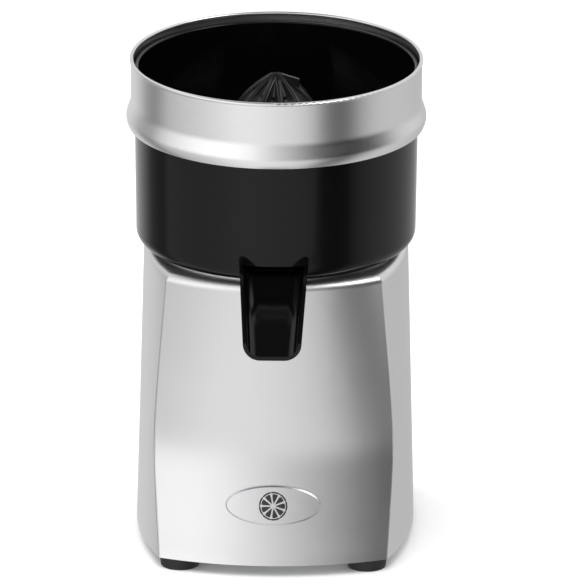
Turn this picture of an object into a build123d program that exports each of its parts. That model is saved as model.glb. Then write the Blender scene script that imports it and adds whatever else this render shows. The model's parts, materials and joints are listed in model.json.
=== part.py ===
from build123d import *
import os
from math import atan2, cos, degrees, floor, pi, radians, sin, sqrt

# Citrus press juicer, in millimetres. +Z is up, the spout points to -Y, and +X is on the right
# of somebody who stands in front of the spout. Shapes are drawn about the motor shaft's axis,
# then moved along Y so that the origin is the middle of the whole object's footprint.

# ---- bowl and its spout ----
bowl_gap_height = 1.0           # the seat stands this far above the housing's roof
bowl_radius = 97.4
bowl_draft = 1.3                # the bowl's foot is this much smaller in radius
bowl_height = 126.0
bowl_wall = 2.6
bowl_foot_fillet = 10.0
floor_front_rise = 5.5          # inside floor above the seat, at the spout
floor_back_rise = 11.5
floor_thickness = 3.0
seat_inset = 9.1                # the seat's outer edge, inside the bowl's foot
seat_width = 9.0
spigot_rise = 1.5
spigot_clearance = 0.4
spout_length = 62.6             # spout tip, in front of the bowl's wall
spout_root_width = 47.6
spout_tip_width = 40.2
spout_wall = 2.4
spout_root_side = 18.0          # top of its side walls above the seat, at the bowl
spout_drop = 36.0               # how far the channel falls to the tip
spout_level_inset = 0.4         # the channel is level until just inside the wall's outer face
spout_tip_side = 12.4           # height of the side walls at the tip
spout_corner_radius = 12.0
spout_floor_thickness = 2.8
spout_gate_rise = 12.5          # top of the opening in the bowl's wall, above the seat
spout_cut_rise = 20.0           # the cut that opens the channel goes this far above its walls
chimney_wall = 3.0
chimney_height = 33.0
chimney_clearance = 0.8
guard_ledge_depth = 3.0         # the ledge that carries the splash guard
guard_ledge_thickness = 3.0
guard_ledge_land = 0.4          # what its chamfer leaves of its edge
strainer_lug_count = 6
strainer_lug_width = 8.0
strainer_lug_depth = 5.0
strainer_lug_height = 10.0
strainer_seat_height = 53.0     # top of the lugs, above the bowl's seat
strainer_lug_start = 30.0

# ---- housing: plan sizes at its top, at the bend of its front panel and at its foot, each as
# its distance inside the bowl's radius, so that the body fits under the bowl ----
foot_height = 8.0
housing_height = 204.0
bend_height = 80.0              # the front panel's concave bend, above the housing's foot
housing_wall = 3.5
housing_roof = 4.0
top_side_inset = 6.4
foot_side_inset = 1.6
widest_behind = 13.0            # the sides bulge most this far behind the shaft
top_corner_inset = (23.4, 23.4)     # front crease: to the side, and in front of the shaft
bend_corner_inset = (12.9, 36.4)
foot_corner_inset = (18.4, 16.4)
top_front_inset = 0.0           # front panel's middle
bend_front_inset = 17.4
foot_front_inset = 0.4
top_rear_corner_inset = 19.4    # rear corners and rear middle, behind the shaft
foot_rear_corner_inset = -0.6
top_rear_inset = -2.6
foot_rear_inset = -20.6
housing_sections = 14
bend_softness = 4.0             # how far the two leans of the panel are blended at the bend
rear_corner_radius = 16.0
crease_radius = 2.6
roof_edge_radius = 6.0
roof_edge_sections = 6

# ---- splash guard: a spun ring, each radius as its distance outside the bowl's wall ----
guard_overlap = 41.0            # how far its lower edge hangs below the bowl's rim
guard_upstand = 4.6             # how far its rim stands above the bowl's rim
guard_gap = 1.7                 # between the bowl's wall and the guard's straight wall
guard_ledge_rise = 6.0          # its lower edge hangs this far below the ledge that carries it
guard_bead_proud = 3.1          # the bead, outside the straight wall
guard_hem_proud = 1.7
guard_bead_height = 5.5         # widest line above its lower edge
guard_shoulder_height = 18.0    # the straight wall starts here, above its lower edge
guard_thickness = 1.0
rim_tube_radius = 1.35

# ---- strainer ----
strainer_thickness = 0.8
strainer_flange_width = 5.2
strainer_depth = 14.0
strainer_rim_clearance = 1.0
strainer_neck_clearance = 2.2
strainer_neck_height = 6.0
slot_width = 2.4
slot_length = 9.0
slot_ring_count = 4
slot_pitch = 9.2                # from slot to slot round a ring

# ---- drive: shaft, collar, seal, hub ----
shaft_radius = 6.0
shaft_flat_depth = 1.3
shaft_top_height = 72.0         # above the bowl's seat
shaft_flat_length = 36.0
shaft_chamfer = 0.8
collar_wall = 2.5               # around the seal
collar_height = 19.0
collar_bore_clearance = 0.6
collar_flange_width = 5.5
collar_flange_thickness = 2.0
seal_section = 4.0
seal_height = 7.0
seal_case_wall = 2.0
seal_web = 3.0                  # the web between the seal's lip and case starts at this height
seal_lip_flare = 1.2
seal_lip_clearance = 0.05
hub_fit = 0.08
hub_wall = 4.0
hub_low_height = 37.0           # above the bowl's seat
hub_top_height = 75.0
hub_crown = 2.0
skirt_gap = 4.7                 # between the chimney and the drip skirt
skirt_wall = 2.0
skirt_low_height = 42.0
skirt_high_height = 52.0
skirt_slope = 3.0               # how far its top falls towards its edge
hub_key_count = 4
hub_key_width = 3.0
hub_key_depth = 2.0
hub_key_length = 16.0
hub_key_start = 45.0

# ---- reamer ----
reamer_low_height = 53.0        # above the bowl's seat
reamer_height = 68.0
reamer_radius = 39.0
reamer_brim_width = 1.0
reamer_shoulder_inset = 12.5    # the middle of the cone's bulging outline, inside its foot
reamer_shoulder_drop = 21.5     # and below its tip
reamer_shoulder_angle = radians(32)
reamer_brim_height = 5.0
reamer_tip_radius = 4.6
reamer_rib_count = 10
reamer_rib_start = -8.0         # turn of the first rib, the one with the fin, from the shaft's right
reamer_rib_thickness = 4.4
reamer_rib_taper = 38.0
reamer_valley = 6.5             # depth of the flutes between the ribs
reamer_wall = 3.0
reamer_socket_clearance = 0.3
reamer_fin_radius = 16.0
reamer_fin_height = 7.0
reamer_fin_round = 3.5
reamer_fin_thickness = 2.2

# ---- motor: it hangs from the housing's roof ----
shield_headroom = 20.0          # between the roof and the upper shield's plate
stator_height = 60.0
stator_radius = 55.0
air_gap = 0.4
rotor_radius = 29.6
winding_height = 18.0
winding_clearance = 3.4         # between the rotor and the windings
winding_width = 15.0
winding_round = 4.0
end_ring_height = 6.0
end_ring_inset = 2.0
end_ring_bore = 8.0             # its bore, outside the shaft
bearing_section = 10.0          # from the shaft to the bearing's outer face
bearing_width = 10.0
bearing_ring_wall = 2.8
bearing_ball_radius = 2.5
bearing_ball_count = 7
bearing_ball_gap = 0.05
shield_thickness = 4.0
shield_height = 24.0
shield_overhang = 2.0           # its rim stands outside the stator
shield_rim_wall = 3.5
shield_boss_wall = 4.0
shield_lip = 2.0
shield_lip_gap = 2.0            # its lip clears the shaft
shield_window_count = 6
shield_window_radius = 8.0
shield_window_start = 15.0
washer_thickness = 1.0
washer_inset = 0.3
tie_bolt_inset = 3.8            # inside the stator's edge
tie_bolt_radius = 1.8
tie_bolt_head_radius = 3.2
tie_bolt_head_height = 3.0
tie_bolt_tail = 4.0
motor_post_offset = 7.0         # the posts' circle, outside the shields
motor_post_radius = 8.0
motor_post_start = 45.0
motor_screw_radius = 2.5
motor_screw_head_radius = 4.4
motor_screw_head_height = 4.0
motor_screw_end = 4.0           # the screws stop this far below the roof
fan_gap = 3.0                   # under the lower shield's boss
fan_radius = 44.0
fan_height = 14.0
fan_blade_count = 8
fan_plate = 2.0
fan_hub_wall = 4.0

# ---- base, feet and fittings ----
base_plate_thickness = 2.0
base_plate_gap = 0.4
base_boss_radius = 5.5
base_boss_height = 16.0
base_boss_inset = 3.0           # the front and rear bosses, inside the walls
base_boss_side = 30.0
base_hole_end = 3.0             # what is left of a boss above its screw hole
base_screw_radius = 1.8
base_screw_head_height = 2.0
base_screw_end = 4.0
vent_count = 16
vent_circle = 34.0
vent_length = 20.0
vent_width = 4.0
foot_radius = 14.0
foot_draft = 0.8
foot_edge_radius = 1.0
foot_side_place = 31.5          # feet, inside the housing's side, front and rear at its foot
foot_front_place = 25.0
foot_rear_place = 34.0
foot_screw_radius = 2.5
foot_screw_head_height = 2.5
foot_screw_tail = 6.0
foot_nut_radius = 4.6
foot_nut_height = 4.0
foot_recess_radius = 5.5
foot_recess_depth = 3.5
badge_width = 65.6
badge_height = 27.6
badge_thickness = 2.4
badge_centre_height = 49.5      # above the table
badge_bevel = 1.0
badge_slope_span = 1.0          # how far above and below its middle its lean is measured
gland_height = 34.0             # above the table
gland_bore_radius = 3.6
gland_barrel_radius = 7.8
gland_barrel_tail = 2.0
gland_hole_clearance = 0.2
gland_flange_radius = 11.0
gland_flange_thickness = 4.0
gland_dome_radius = 8.5
gland_dome_length = 8.0
gland_dome_taper = 10.0
gland_pad_radius = 14.0
gland_pad_proud = 2.5
gland_pad_depth = 11.0
gland_nut_thickness = 5.0
switch_height = 75.0            # above the table
switch_behind = 32.0            # behind the shaft
switch_face_inset = 5.3         # floor of its recess, inside the housing's widest line
switch_recess = (27.0, 36.0)
switch_recess_radius = 5.0
switch_bezel = (22.0, 31.0)
switch_bezel_radius = 3.0
switch_bezel_bevel = 0.6
switch_bezel_thickness = 1.6
switch_case = (19.0, 27.0)
switch_case_depth = 20.5
switch_case_gap = 0.2
switch_well = (16.8, 24.8)
switch_well_depth = 10.8
switch_pad_thickness = 4.0
switch_pad_margin = 3.0
blade_size = (10.0, 0.8, 6.3)
blade_places = (5.0, 7.0)       # to each side of the switch's axis, and above and below it
rocker_width = 16.0
rocker_half_height = 11.0
rocker_depth = 4.0
rocker_undercut = 2.0
rocker_rise = 4.6
rocker_dish = 1.4
rocker_edge_radius = 0.6
rocker_pivot_depth = 3.0
rocker_tilt = 8.0
rocker_pin_radius = 1.2
rocker_pin_clearance = 0.1
capacitor_radius = 15.0
capacitor_length = 56.0
capacitor_edge_radius = 1.5
capacitor_place = (-38.0, 62.0)
clip_thickness = 1.0
clip_width = 12.0
clip_tab = 7.0
terminal_size = (40.0, 16.0, 14.0)
terminal_place = (36.0, 66.0)
terminal_ways = 3
terminal_well_radius = 2.6
seat_gap = 0.1                  # faces that rest on each other across two bodies

# ---- sizes worked out from the ones above ----
top_half_width = bowl_radius - top_side_inset
foot_half_width = bowl_radius - foot_side_inset
top_corner = tuple(bowl_radius - inset for inset in top_corner_inset)
bend_corner = tuple(bowl_radius - inset for inset in bend_corner_inset)
foot_corner = tuple(bowl_radius - inset for inset in foot_corner_inset)
top_middle = bowl_radius - top_front_inset
bend_middle = bowl_radius - bend_front_inset
foot_middle = bowl_radius - foot_front_inset
top_rear_corner = bowl_radius - top_rear_corner_inset
foot_rear_corner = bowl_radius - foot_rear_corner_inset
top_rear_middle = bowl_radius - top_rear_inset
foot_rear_middle = bowl_radius - foot_rear_inset
housing_top = foot_height + housing_height
bend_z = foot_height + bend_height
roof_under = housing_top - housing_roof
plate_top = foot_height + base_plate_thickness
switch_face = foot_half_width - switch_face_inset
foot_side = foot_half_width - foot_side_place
foot_forward = foot_middle - foot_front_place
foot_backward = foot_rear_middle - foot_rear_place
seat_z = housing_top + bowl_gap_height
bowl_top = seat_z + bowl_height
bowl_foot_radius = bowl_radius - bowl_draft
seat_outer_radius = bowl_foot_radius - seat_inset
seat_inner_radius = seat_outer_radius - seat_width
spout_reach = bowl_radius + spout_length
spout_level_to = bowl_radius - spout_level_inset
guard_bottom = bowl_top - guard_overlap
guard_top = bowl_top + guard_upstand
guard_ledge_z = guard_bottom + guard_ledge_rise
guard_radius = bowl_radius + guard_gap + guard_thickness
guard_bead_radius = guard_radius + guard_bead_proud
guard_hem_radius = guard_radius + guard_hem_proud
shaft_top = seat_z + shaft_top_height
seal_radius = shaft_radius + seal_section
collar_radius = seal_radius + collar_wall
collar_flange_radius = collar_radius + collar_flange_width
chimney_bore = collar_radius + chimney_clearance
chimney_radius = chimney_bore + chimney_wall
skirt_radius = chimney_radius + skirt_gap + skirt_wall
hub_radius = shaft_radius + hub_wall
reamer_base = seat_z + reamer_low_height
reamer_top = reamer_base + reamer_height
bearing_outer_radius = shaft_radius + bearing_section
bearing_pitch = (shaft_radius + bearing_outer_radius) / 2
upper_shield_plate = roof_under - shield_headroom - shield_thickness
stator_high = upper_shield_plate - shield_height
stator_low = stator_high - stator_height
lower_shield_plate = stator_low - shield_height
upper_bearing_low = upper_shield_plate
lower_bearing_high = lower_shield_plate
lower_bearing_low = lower_bearing_high - bearing_width
shaft_low = lower_bearing_low - washer_thickness - shield_lip - fan_gap - fan_height
shield_radius = stator_radius + shield_overhang
shield_boss_radius = bearing_outer_radius + shield_boss_wall
tie_bolt_circle = stator_radius - tie_bolt_inset
motor_post_circle = shield_radius + motor_post_offset
winding_inner_radius = rotor_radius + winding_clearance
winding_outer_radius = winding_inner_radius + winding_width
gland_reach = foot_rear_middle + gland_pad_proud + gland_flange_thickness + gland_dome_length
shaft_y = (spout_reach - gland_reach) / 2
far = 400.0                     # longer than the object, for cutting tools


# ---- small helpers ----

def rod(radius, low, high):
    return Pos(0, 0, (low + high) / 2) * Cylinder(radius, high - low)


def tube(outer, inner, low, high):
    return rod(outer, low, high) - rod(inner, low - 1, high + 1)


def around(count, radius, start=0.0):
    # evenly spaced places on a circle about the shaft
    turns = [start + 360 * i / count for i in range(count)]
    return [Pos(radius * cos(radians(a)), radius * sin(radians(a))) for a in turns]


def turned(points):
    # a solid of revolution from points (radius, height)
    outline = [(r, 0, z) for r, z in points]
    return revolve(make_face(Polyline(*outline, close=True)), Axis.Z)


def screw(radius, low, high, head_radius, head_height):
    # head below, shank upwards
    return rod(head_radius, low, low + head_height) + rod(radius, low + head_height - 0.1, high)


def group(solids):
    return Compound(list(solids))


# ---- the housing's plan outline at a height ----

def soft_high(a, b, softness):
    # the higher of two lines, with their meeting rounded off
    return (a + b + sqrt((a - b) ** 2 + softness ** 2)) / 2


def along(z, low_z, low, high_z, high):
    return low + (high - low) * (z - low_z) / (high_z - low_z)


def bent(z, at_foot, at_bend, at_top):
    # a size that follows one straight line below the bend and another above it
    lower = along(z, foot_height, at_foot, bend_z, at_bend)
    upper = along(z, bend_z, at_bend, housing_top, at_top)
    if at_foot + at_top > 2 * at_bend:
        return soft_high(lower, upper, bend_softness)
    return -soft_high(-lower, -upper, bend_softness)


def outline(z):
    # four arcs: front panel, right side, rear, left side, meeting at four corners
    corner_x = bent(z, foot_corner[0], bend_corner[0], top_corner[0])
    corner_y = -bent(z, foot_corner[1], bend_corner[1], top_corner[1])
    front_y = -bent(z, foot_middle, bend_middle, top_middle)
    side_x = along(z, foot_height, foot_half_width, housing_top, top_half_width)
    rear_y = along(z, foot_height, foot_rear_middle, housing_top, top_rear_middle)
    rear_corner_y = along(z, foot_height, foot_rear_corner, housing_top, top_rear_corner)
    run = widest_behind - corner_y
    swing = (run ** 2 + (side_x - corner_x) ** 2) / (2 * (side_x - corner_x))
    rear_run = rear_corner_y - widest_behind
    rear_corner_x = side_x - swing + sqrt(swing ** 2 - rear_run ** 2)
    front = ThreePointArc((-corner_x, corner_y), (0, front_y), (corner_x, corner_y))
    right = ThreePointArc(
        (corner_x, corner_y), (side_x, widest_behind), (rear_corner_x, rear_corner_y)
    )
    rear = ThreePointArc(
        (rear_corner_x, rear_corner_y), (0, rear_y), (-rear_corner_x, rear_corner_y)
    )
    left = ThreePointArc(
        (-rear_corner_x, rear_corner_y), (-side_x, widest_behind), (-corner_x, corner_y)
    )
    return make_face(front + right + rear + left)


def outline_at(z, inset):
    # the outline moved inwards, with its rear corners rounded and its front creases eased
    face = outline(z)
    if inset:
        face = offset(face, amount=-inset, kind=Kind.INTERSECTION)
    corners = face.vertices().sort_by(Axis.Y)
    face = fillet(corners[-2:], rear_corner_radius - inset)
    corners = face.vertices().sort_by(Axis.Y)
    face = fillet(corners[:2], crease_radius)
    return Pos(0, 0, z) * face


def housing_form(inset, low, high):
    # evenly spaced sections keep the lofted faces free of ripples
    levels = [low + (high - low) * i / housing_sections for i in range(housing_sections + 1)]
    return loft([outline_at(z, inset) for z in levels])


def rounded_roof_edge():
    # sections that step inwards along a quarter circle, up to the roof
    steps = [pi / 2 * i / roof_edge_sections for i in range(roof_edge_sections + 1)]
    low = housing_top - roof_edge_radius
    return loft([
        outline_at(low + roof_edge_radius * sin(a), roof_edge_radius * (1 - cos(a)))
        for a in steps
    ])


def base_boss_places():
    # beside the walls at the foot: one at each side, two in front, two behind
    side = foot_half_width - housing_wall - base_boss_radius
    front = foot_middle - housing_wall - base_boss_radius - base_boss_inset
    rear = foot_rear_middle - housing_wall - base_boss_radius - base_boss_inset
    return [
        Pos(side, widest_behind),
        Pos(-side, widest_behind),
        Pos(base_boss_side, -front),
        Pos(-base_boss_side, -front),
        Pos(base_boss_side, rear),
        Pos(-base_boss_side, rear),
    ]


def gland_axis(y):
    # a frame on the rear gland's axis, with its own +Z pointing backwards
    return Plane(origin=(0, y, gland_height), z_dir=(0, 1, 0))


def gland_pad_face():
    return foot_rear_middle + gland_pad_proud


def switch_plane(x):
    # a frame on the switch's recess, with its own +Z pointing out of the side
    return Plane(origin=(x, switch_behind, switch_height), x_dir=(0, 1, 0), z_dir=(1, 0, 0))


def motor_post_places():
    return around(4, motor_post_circle, motor_post_start)


def housing():
    skin = housing_form(0, foot_height, housing_top - roof_edge_radius) + rounded_roof_edge()
    solid_skin = skin
    hollow = housing_form(housing_wall, foot_height, roof_under)
    skin = skin - hollow
    posts = [p * rod(motor_post_radius, upper_shield_plate + shield_thickness, roof_under + 1)
             for p in motor_post_places()]
    bosses = [p * rod(base_boss_radius, plate_top, plate_top + base_boss_height)
              for p in base_boss_places()]
    pad_low = gland_pad_face() - gland_pad_depth
    gland_pad = extrude(gland_axis(pad_low) * Circle(gland_pad_radius), gland_pad_depth)
    pad_width, pad_height = [size + 2 * switch_pad_margin for size in switch_recess]
    switch_pad = extrude(
        switch_plane(switch_face - switch_pad_thickness) * Rectangle(pad_width, pad_height),
        switch_pad_thickness + switch_pad_margin,
    )
    skin = skin + posts
    for piece in bosses + [switch_pad]:
        skin = skin + (piece & solid_skin)
    skin = skin + gland_pad
    seat = tube(seat_outer_radius, seat_inner_radius, housing_top - 1, seat_z)
    spigot = rod(seat_inner_radius - spigot_clearance, housing_top - 1, seat_z + spigot_rise)
    skin = skin + seat + spigot
    for place in motor_post_places():
        skin = skin - place * rod(motor_screw_radius, upper_shield_plate, roof_under)
    for place in base_boss_places():
        skin = skin - place * rod(base_screw_radius, 0, plate_top + base_boss_height - base_hole_end)
    skin = skin - rod(collar_radius, roof_under - 1, seat_z + spigot_rise + 1)
    skin = skin - extrude(
        gland_axis(gland_pad_face() + 1) * Circle(gland_barrel_radius + gland_hole_clearance),
        -2 * gland_pad_depth,
    )
    recess = RectangleRounded(*switch_recess, switch_recess_radius)
    skin = skin - extrude(switch_plane(switch_face) * recess, 2 * switch_face_inset)
    hole = Rectangle(switch_case[0] + 2 * switch_case_gap, switch_case[1] + 2 * switch_case_gap)
    return skin - extrude(switch_plane(switch_face + 1) * hole, -switch_case_depth)


# ---- base plate, feet and their fasteners ----

def foot_places():
    return {
        "foot_front_left": Pos(-foot_side, -foot_forward),
        "foot_front_right": Pos(foot_side, -foot_forward),
        "foot_rear_left": Pos(-foot_side, foot_backward),
        "foot_rear_right": Pos(foot_side, foot_backward),
    }


def base_plate():
    # cut to the cavity's outline at the plate's upper face, where the leaning walls are closest
    outline = outline_at(plate_top, housing_wall + base_plate_gap)
    plate = extrude(outline, base_plate_thickness, dir=(0, 0, -1))
    for place in foot_places().values():
        plate = plate - place * rod(foot_screw_radius, 0, plate_top + 1)
    for place in base_boss_places():
        plate = plate - place * rod(base_screw_radius, 0, plate_top + 1)
    for i in range(vent_count):
        slot = Pos(vent_circle, 0, 0) * SlotOverall(vent_length, vent_width)
        plate = plate - Rot(0, 0, 360 * i / vent_count) * extrude(slot, plate_top + 1)
    return plate


def base_screws():
    low = foot_height - base_screw_head_height
    top = plate_top + base_boss_height - base_screw_end
    one = screw(base_screw_radius, low, top, base_screw_radius * 2, base_screw_head_height)
    return group(p * one for p in base_boss_places())


def foot():
    body = turned([
        (foot_screw_radius, 0),
        (foot_radius - foot_draft, 0),
        (foot_radius, foot_height),
        (foot_screw_radius, foot_height),
    ])
    lower_edge = body.edges().group_by(Axis.Z)[0].sort_by(SortBy.LENGTH)[-1:]
    body = fillet(lower_edge, foot_edge_radius)
    return body - rod(foot_recess_radius, -1, foot_recess_depth)


def foot_screws():
    low = foot_recess_depth - foot_screw_head_height
    top = plate_top + foot_screw_tail
    one = screw(foot_screw_radius, low, top, foot_recess_radius - 1, foot_screw_head_height)
    return group(p * one for p in foot_places().values())


def foot_nuts():
    nut = Pos(0, 0, plate_top) * extrude(RegularPolygon(foot_nut_radius, 6), foot_nut_height)
    nut = nut - rod(foot_screw_radius, 0, plate_top + foot_nut_height + 1)
    return group(p * nut for p in foot_places().values())


# ---- badge: an oval plate that follows the front panel's curve ----

def badge_plane():
    span = badge_slope_span
    low = bent(badge_centre_height - span, foot_middle, bend_middle, top_middle)
    high = bent(badge_centre_height + span, foot_middle, bend_middle, top_middle)
    lean = atan2(low - high, 2 * span)
    front = bent(badge_centre_height, foot_middle, bend_middle, top_middle)
    out = (0, -cos(lean), sin(lean))
    return Plane(origin=(0, -front, badge_centre_height), x_dir=(1, 0, 0), z_dir=out)


def badge():
    wall_top = housing_top - roof_edge_radius
    proud = housing_form(-badge_thickness, foot_height, wall_top)
    body = housing_form(0, foot_height, wall_top)
    oval = Ellipse(badge_width / 2, badge_height / 2)
    column = extrude(badge_plane() * oval, 5 * badge_thickness, both=True)
    plate = (column & proud) - body
    plate = plate.solids().sort_by(Axis.Y)[0]
    rim = sorted(plate.edges(), key=lambda e: e.center().Y)[0]
    return chamfer(rim, badge_bevel)


# ---- cable gland at the rear ----

def gland_body():
    face = gland_pad_face()
    barrel_length = gland_pad_depth + gland_nut_thickness + gland_barrel_tail
    barrel = extrude(gland_axis(face) * Circle(gland_barrel_radius), -barrel_length)
    flange = extrude(gland_axis(face) * RegularPolygon(gland_flange_radius, 6), gland_flange_thickness)
    dome_base = face + gland_flange_thickness
    dome_circle = gland_axis(dome_base) * Circle(gland_dome_radius)
    dome = extrude(dome_circle, gland_dome_length, taper=gland_dome_taper)
    body = barrel + flange + dome
    return body - extrude(gland_axis(face) * Circle(gland_bore_radius), far, both=True)


def gland_locknut():
    face = gland_pad_face() - gland_pad_depth
    nut = extrude(gland_axis(face) * RegularPolygon(gland_flange_radius, 6), -gland_nut_thickness)
    hole = gland_axis(face + 1) * Circle(gland_barrel_radius)
    return nut - extrude(hole, -gland_nut_thickness - 2)


# ---- rocker switch in its recess ----

def switch_body():
    case = extrude(switch_plane(switch_face) * Rectangle(*switch_case), -switch_case_depth)
    bezel_outline = switch_plane(switch_face) * RectangleRounded(*switch_bezel, switch_bezel_radius)
    bezel = extrude(bezel_outline, switch_bezel_thickness)
    bezel = chamfer(bezel.faces().sort_by(Axis.X)[-1].edges(), switch_bezel_bevel)
    well_top = switch_face + switch_bezel_thickness + 1
    well_depth = switch_well_depth + switch_bezel_thickness + 1
    well = extrude(switch_plane(well_top) * Rectangle(*switch_well), -well_depth)
    return case + bezel - well


def switch_terminals():
    across, up = blade_places
    x = switch_face - switch_case_depth - blade_size[0] / 2
    places = [(switch_behind + a * across, switch_height + b * up) for a in (-1, 1) for b in (-1, 1)]
    return group(Pos(x, y, z) * Box(*blade_size) for y, z in places)


def switch_pivot():
    return (switch_face - rocker_pivot_depth, switch_behind, switch_height)


def switch_rocker():
    # a shallow V across its face, tipped to its off position about a pin along Y
    half = rocker_half_height
    profile = [
        (-rocker_depth, -half + rocker_undercut),
        (rocker_rise, -half),
        (rocker_rise - rocker_dish, 0),
        (rocker_rise, half),
        (-rocker_depth, half - rocker_undercut),
    ]
    face = make_face(Polyline(*[(x, 0, z) for x, z in profile], close=True))
    body = extrude(face, rocker_width / 2, dir=(0, 1, 0), both=True)
    body = fillet(body.edges().filter_by(Axis.Y), rocker_edge_radius)
    pin_length = switch_well[0] - 2 * rocker_pin_clearance
    body = body + Rot(90, 0, 0) * Cylinder(rocker_pin_radius, pin_length)
    return Pos(*switch_pivot()) * (Rot(0, rocker_tilt, 0) * body)


# ---- electrical fittings on the base plate ----

def capacitor():
    x, y = capacitor_place
    can = Rot(0, 90, 0) * Cylinder(capacitor_radius, capacitor_length)
    can = fillet(can.edges(), capacitor_edge_radius)
    height = plate_top + capacitor_radius + clip_thickness
    return Pos(x, y, height) * can


def capacitor_clip():
    x, y = capacitor_place
    height = plate_top + capacitor_radius + clip_thickness
    outer = capacitor_radius + clip_thickness
    band = Rot(0, 90, 0) * (Cylinder(outer, clip_width) - Cylinder(capacitor_radius, clip_width))
    tab = Box(clip_width, 2 * (outer + clip_tab), clip_thickness)
    tab = Pos(0, 0, plate_top + clip_thickness / 2 - height) * tab
    tab = tab - Rot(0, 90, 0) * Cylinder(capacitor_radius, 2 * clip_width)
    return Pos(x, y, height) * (band + tab)


def terminal_block():
    x, y = terminal_place
    length, depth, height = terminal_size
    block = Pos(x, y, plate_top + height / 2) * Box(length, depth, height)
    pitch = length / terminal_ways
    for way in range(terminal_ways):
        step = (way - (terminal_ways - 1) / 2) * pitch
        well = rod(terminal_well_radius, plate_top + height / 2, plate_top + height + 1)
        block = block - Pos(x + step, y) * well
    return block


# ---- motor: what stands still ----

def tie_bolt_places():
    return around(4, tie_bolt_circle, 0)


def stator_stack():
    stack = tube(stator_radius, rotor_radius + air_gap, stator_low, stator_high)
    for place in tie_bolt_places():
        stack = stack - place * rod(tie_bolt_radius, stator_low - 1, stator_high + 1)
    return stack


def winding(low):
    ring = tube(winding_outer_radius, winding_inner_radius, low, low + winding_height)
    return fillet(ring.edges().filter_by(GeomType.CIRCLE), winding_round)


def end_shield(upwards):
    # a spoked plate, a rim that bears on the stator, and a pocket for the bearing, drawn
    # for the upper end and mirrored for the lower one
    base = stator_high
    plate_low = base + shield_height
    plate_high = plate_low + shield_thickness
    rim = tube(shield_radius, shield_radius - shield_rim_wall, base, plate_high)
    plate = tube(shield_radius, bearing_outer_radius, plate_low, plate_high)
    boss_high = plate_low + bearing_width + washer_thickness + shield_lip
    boss = tube(shield_boss_radius, bearing_outer_radius, plate_low, boss_high)
    lip = tube(shield_boss_radius, shaft_radius + shield_lip_gap, boss_high - shield_lip, boss_high)
    shield = rim + plate + boss + lip
    if upwards:
        for place in motor_post_places():
            ear = place * rod(motor_post_radius, plate_low, plate_high)
            shield = shield + (ear - rod(shield_radius - 1, plate_low - 1, plate_high + 1))
            shield = shield - place * rod(motor_screw_radius, plate_low - 1, plate_high + 1)
    window_circle = (shield_boss_radius + shield_radius - shield_rim_wall - 2 * shield_lip) / 2
    for place in around(shield_window_count, window_circle, shield_window_start):
        shield = shield - place * rod(shield_window_radius, plate_low - 1, plate_high + 1)
    for place in tie_bolt_places():
        shield = shield - place * rod(tie_bolt_radius, base - 1, plate_high + 1)
    if not upwards:
        middle = (stator_low + stator_high) / 2
        shield = mirror(shield, Plane.XY.offset(middle))
    return shield


def tie_bolts():
    low = lower_shield_plate - shield_thickness
    high = upper_shield_plate + shield_thickness
    head_low = low - tie_bolt_head_height
    end = high + tie_bolt_tail
    one = screw(tie_bolt_radius, head_low, end, tie_bolt_head_radius, tie_bolt_head_height)
    return group(p * one for p in tie_bolt_places())


def motor_screws():
    low = upper_shield_plate - motor_screw_head_height
    end = roof_under - motor_screw_end
    one = screw(motor_screw_radius, low, end, motor_screw_head_radius, motor_screw_head_height)
    return group(p * one for p in motor_post_places())


def bearing_outer(low):
    groove_z = low + bearing_width / 2
    inner = bearing_outer_radius - bearing_ring_wall
    ring = tube(bearing_outer_radius, inner, low, low + bearing_width)
    return ring - Pos(0, 0, groove_z) * Torus(bearing_pitch, bearing_ball_radius + bearing_ball_gap)


def bearing_inner(low):
    groove_z = low + bearing_width / 2
    ring = tube(shaft_radius + bearing_ring_wall, shaft_radius, low, low + bearing_width)
    return ring - Pos(0, 0, groove_z) * Torus(bearing_pitch, bearing_ball_radius + bearing_ball_gap)


def bearing_balls(low):
    ball = Pos(0, 0, low + bearing_width / 2) * Sphere(bearing_ball_radius)
    return group(p * ball for p in around(bearing_ball_count, bearing_pitch))


def wave_washer():
    low = lower_bearing_low - washer_thickness
    inner = bearing_outer_radius - bearing_ring_wall
    return tube(bearing_outer_radius - washer_inset, inner, low, lower_bearing_low)


def shaft_collar():
    # stands up through the roof and keeps juice away from the seal; its flange is under the roof
    low = roof_under - collar_flange_thickness
    high = seat_z + collar_height
    bore = shaft_radius + collar_bore_clearance
    body = tube(collar_radius, bore, low, high)
    flange = tube(collar_flange_radius, bore, low, roof_under)
    return body + flange - rod(seal_radius, high - seal_height, high + 1)


def shaft_seal():
    high = seat_z + collar_height
    low = high - seal_height
    lip = shaft_radius + seal_lip_clearance
    case_inner = seal_radius - seal_case_wall
    return turned([
        (lip, low + seal_web / 2),
        (lip + seal_lip_flare, low + seal_web),
        (case_inner, low + seal_web),
        (case_inner, low),
        (seal_radius, low),
        (seal_radius, high),
        (lip + seal_lip_flare, high),
        (lip, low + seal_web / 2 + 1),
    ])


# ---- motor: what turns ----

def motor_shaft():
    bar = rod(shaft_radius, shaft_low, shaft_top)
    flat_low = shaft_top - shaft_flat_length
    for side in (-1, 1):
        cut = Box(4 * shaft_radius, shaft_radius, shaft_flat_length + 1)
        y = side * (1.5 * shaft_radius - shaft_flat_depth)
        bar = bar - Pos(0, y, (flat_low + shaft_top + 1) / 2) * cut
    return chamfer(bar.edges().group_by(Axis.Z)[-1], shaft_chamfer)


def rotor_stack():
    stack = tube(rotor_radius, shaft_radius, stator_low, stator_high)
    ring_outer = rotor_radius - end_ring_inset
    ring_inner = shaft_radius + end_ring_bore
    stack = stack + tube(ring_outer, ring_inner, stator_high - 1, stator_high + end_ring_height)
    return stack + tube(ring_outer, ring_inner, stator_low - end_ring_height, stator_low + 1)


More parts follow.
